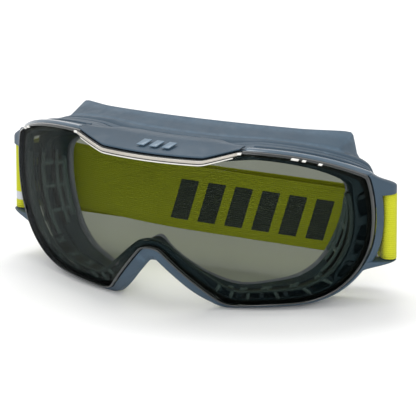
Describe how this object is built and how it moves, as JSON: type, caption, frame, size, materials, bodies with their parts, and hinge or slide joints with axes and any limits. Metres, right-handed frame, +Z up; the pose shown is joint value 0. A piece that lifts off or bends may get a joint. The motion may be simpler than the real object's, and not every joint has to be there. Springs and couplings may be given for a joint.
{
  "type": "welding goggles",
  "caption": "Sealed eye goggles with a wide wrap-round tinted lens, hard vented frame, soft face seal with a brow flap and a doubled elastic strap",
  "frame": {"origin": "middle of the footprint, on the base the goggles stand on", "axes": "+Z up, the lens faces -Y, +X across the goggles, the strap lies at +Y"},
  "size_m": [0.1864, 0.0808, 0.0772],
  "materials": {
    "lens": "polished grey-green tint",
    "gasket": "matt",
    "frame": "satin blue-grey",
    "inner_frame": "satin, darker",
    "mark": "satin",
    "soft_seal": "soft satin",
    "cushion": "soft, matt",
    "filter": "open mesh",
    "pin": "satin",
    "webbing": "woven, elastic",
    "buckle": "smooth"
  },
  "bodies": {
    "goggles": {"carrier": "frame", "brow_cover": "frame", "brow_bar_1": "mark", "brow_bar_2": "mark", "brow_bar_3": "mark", "lower_band": "frame", "face_seal": "soft_seal", "forehead_flap": "soft_seal", "face_cushion": "cushion", "vent_top": "filter", "vent_bottom_right": "filter", "vent_bottom_left": "filter", "side_vent_right": "inner_frame", "side_vent_left": "inner_frame", "lens_catch_right": "inner_frame", "lens_catch_left": "inner_frame", "wing_right": "frame", "wing_left": "frame", "strap_pin_right": "pin", "strap_pin_left": "pin", "strap_loop_right": "webbing", "strap_loop_left": "webbing", "strap_front": "webbing", "strap_rear": "webbing"},
    "lens_part": {"lens": "lens", "lens_gasket": "gasket"},
    "adjuster_part": {"adjuster": "buckle"}
  },
  "joints": [
    {"name": "lens_release", "type": "slide", "parent": "goggles", "child": "lens_part", "axis": [0, -1, 0], "range_m": [0, 0.03]},
    {"name": "adjuster_slide", "type": "slide", "parent": "goggles", "child": "adjuster_part", "axis": [1, 0, 0], "range_m": [-0.13, 0]}
  ]
}
